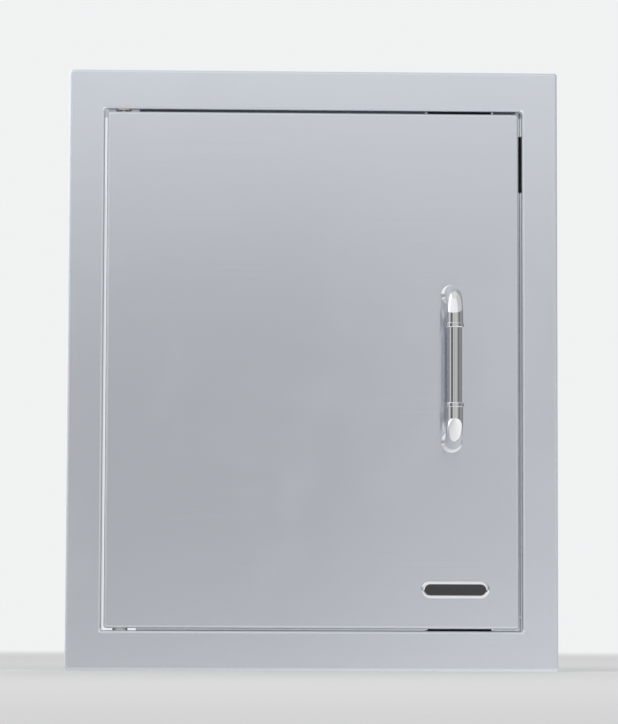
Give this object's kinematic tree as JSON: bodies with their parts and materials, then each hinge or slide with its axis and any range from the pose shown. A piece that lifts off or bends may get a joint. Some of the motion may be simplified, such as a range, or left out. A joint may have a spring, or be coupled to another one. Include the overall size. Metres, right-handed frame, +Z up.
{
  "type": "bbq island access door",
  "caption": "Flush single access door in a one-piece steel face frame with a sleeve, for an outdoor kitchen island, with a vertical pull, concealed pivots and magnetic catches.",
  "frame": {"origin": "centre of the frame's opening, in the plane of the island's face, where the frame's rear lip seats", "axes": "+X to the right seen from the front, +Y into the island, +Z up; the door faces -Y"},
  "size_m": [0.425, 0.095, 0.521],
  "materials": {
    "face_steel": "fine horizontal brush, satin",
    "door_steel": "fine horizontal brush, satin",
    "rail_steel": "mill finish, dull",
    "inner_steel": "zinc plated, dull",
    "fastener_steel": "zinc plated, bright",
    "grip_steel": "polished tube with a fine long grain",
    "bright_chrome": "mirror polished",
    "catch_plastic": "moulded, fine texture",
    "plug_plastic": "moulded, satin",
    "bush_nylon": "natural nylon, waxy",
    "bumper_rubber": "matt black rubber",
    "magnet_ferrite": "sintered, dark grey",
    "badge_field": "smooth dark enamel, bare",
    "pad_foam": "foam tape"
  },
  "bodies": {
    "frame": {"face_frame": "face_steel", "stop_rail_top": "rail_steel", "stop_rail_bottom": "rail_steel", "stop_rail_latch": "rail_steel", "latch_bumper": "bumper_rubber", "hinge_doubler_top": "inner_steel", "hinge_doubler_bottom": "inner_steel", "top_bush": "bush_nylon", "bottom_pivot_pin": "fastener_steel", "thrust_washer": "bush_nylon", "catch_case_top": "catch_plastic", "catch_case_bottom": "catch_plastic", "catch_poles_top": "inner_steel", "catch_poles_bottom": "inner_steel", "catch_magnet_top": "magnet_ferrite", "catch_magnet_bottom": "magnet_ferrite", "catch_screws_top": "fastener_steel", "catch_screws_bottom": "fastener_steel"},
    "door": {"door_skin": "door_steel", "door_liner": "door_steel", "liner_rivets": "fastener_steel", "strike_plate_top": "fastener_steel", "strike_plate_bottom": "fastener_steel", "strike_rivets_top": "fastener_steel", "strike_rivets_bottom": "fastener_steel", "access_plugs": "plug_plastic", "pin_carrier": "inner_steel", "socket_carrier": "inner_steel", "bottom_bush": "bush_nylon", "pin_spring": "inner_steel", "handle_tube": "grip_steel", "handle_elbow_top": "bright_chrome", "handle_elbow_bottom": "bright_chrome", "handle_stiffener": "inner_steel", "handle_washers": "fastener_steel", "handle_screws": "fastener_steel", "badge_plate": "bright_chrome", "badge_inlay": "badge_field", "badge_pad": "pad_foam"},
    "top_pin": {"sprung_pin": "fastener_steel", "pin_collar": "fastener_steel", "pin_lever": "fastener_steel"}
  },
  "joints": [
    {"name": "door_swing", "type": "hinge", "parent": "frame", "child": "door", "pos_m": [-0.1654, -0.008, 0], "axis": [0, 0, -1], "range_deg": [0, 115]},
    {"name": "top_pin_slide", "type": "slide", "parent": "door", "child": "top_pin", "axis": [0, 0, -1], "range_m": [0, 0.009], "stiffness_N_per_m": 500, "springref_m": -0.01, "deforming": ["pin_spring"]}
  ]
}
